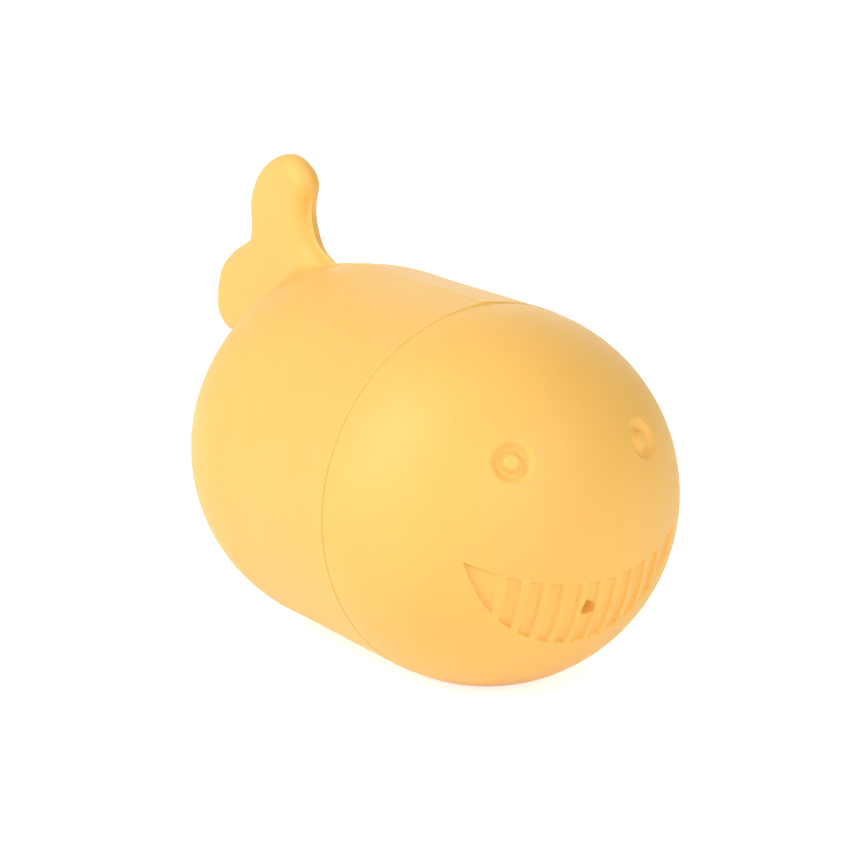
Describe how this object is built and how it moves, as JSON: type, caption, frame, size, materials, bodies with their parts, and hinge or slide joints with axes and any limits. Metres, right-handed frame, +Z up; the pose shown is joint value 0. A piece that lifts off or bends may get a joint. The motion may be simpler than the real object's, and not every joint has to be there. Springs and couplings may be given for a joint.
{
  "type": "bath toy whale",
  "caption": "Round soft whale bath toy in two silicone shells that plug together, with a ribbed mouth, ring eyes, an upright tail fin and a reed squeaker behind a vent in the mouth.",
  "frame": {"origin": "on the flat of the belly, under the middle of the whale's whole length", "axes": "+Z up through the back, -Y out of the snout, +Y towards the tail fin, +X to the whale's left"},
  "size_m": [0.06, 0.1086, 0.0728],
  "materials": {
    "silicone": "matte soft-touch silicone, warm yellow",
    "capsule": "smooth moulded white plastic",
    "block": "satin moulded plastic, pale grey",
    "reed": "thin clear-grey film"
  },
  "bodies": {
    "tail": {"tail_shell": "silicone"},
    "head": {"head_shell": "silicone", "squeaker_housing": "capsule", "reed_block": "block", "squeaker_cap": "capsule"},
    "reed": {"reed": "reed"}
  },
  "joints": [
    {"name": "head_pull_off", "type": "slide", "parent": "tail", "child": "head", "axis": [0, -1, 0], "range_m": [0, 0.045]},
    {"name": "reed_flutter", "type": "hinge", "parent": "head", "child": "reed", "pos_m": [0, -0.04085, 0.01841], "axis": [1, 0, 0], "range_deg": [-3, 3], "stiffness_Nm_per_rad": 0.001}
  ]
}
